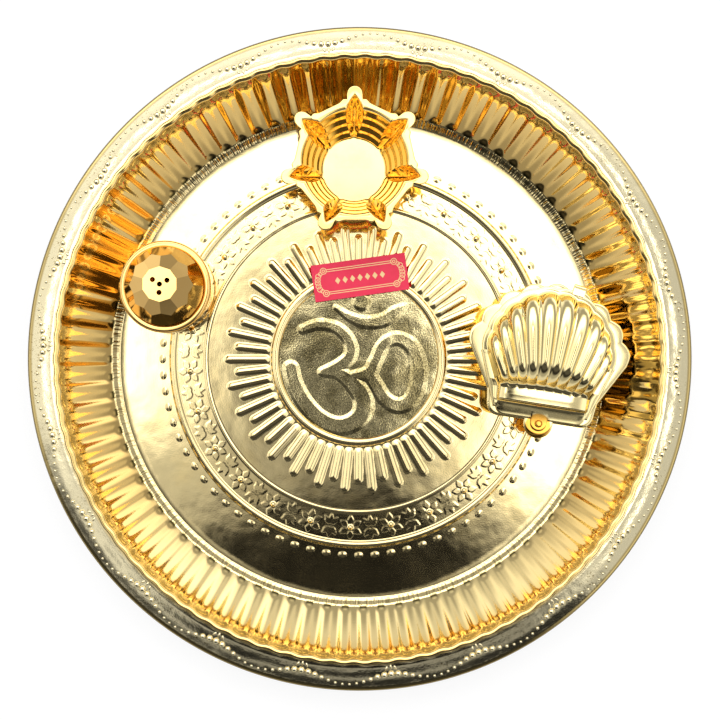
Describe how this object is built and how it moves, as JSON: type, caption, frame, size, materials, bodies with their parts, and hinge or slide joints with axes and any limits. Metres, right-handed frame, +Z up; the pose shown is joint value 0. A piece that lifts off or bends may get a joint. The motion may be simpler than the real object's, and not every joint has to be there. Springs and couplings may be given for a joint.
{
  "type": "puja thali",
  "caption": "Round fluted worship plate with a rolled edge, carrying a loose star-shaped oil lamp, an incense stand with a faceted dome and a shell-shaped powder box with a swinging lid.",
  "frame": {"origin": "middle of the plate's underside, on the surface that it stands on", "axes": "+Z up, +Y from the middle of the plate towards the star lamp, +X towards the shell box"},
  "size_m": [0.254, 0.254, 0.0292],
  "materials": {
    "plate_gold": "polished",
    "lamp_gold": "polished",
    "stand_gold": "polished",
    "shell_gold": "polished",
    "label_paper": "coated"
  },
  "bodies": {
    "thali": {"thali_plate": "plate_gold", "paper_label": "label_paper"},
    "star_lamp": {"star_diya": "lamp_gold"},
    "incense_stand": {"stand_cup": "stand_gold", "stand_dome": "stand_gold"},
    "shell_box": {"shell_base": "shell_gold", "shell_rivet": "shell_gold"},
    "shell_cover": {"shell_lid": "shell_gold"}
  },
  "joints": [
    {"name": "star_lift", "type": "slide", "parent": "thali", "child": "star_lamp", "axis": [0, 0, 1], "range_m": [0, 0.05]},
    {"name": "stand_lift", "type": "slide", "parent": "thali", "child": "incense_stand", "axis": [0, 0, 1], "range_m": [0, 0.05]},
    {"name": "shell_lift", "type": "slide", "parent": "thali", "child": "shell_box", "axis": [0, 0, 1], "range_m": [0, 0.05]},
    {"name": "lid_swing", "type": "hinge", "parent": "shell_box", "child": "shell_cover", "pos_m": [0.06975, -0.0252, 0.0126], "axis": [0, 0, 1], "range_deg": [0, 110]}
  ]
}
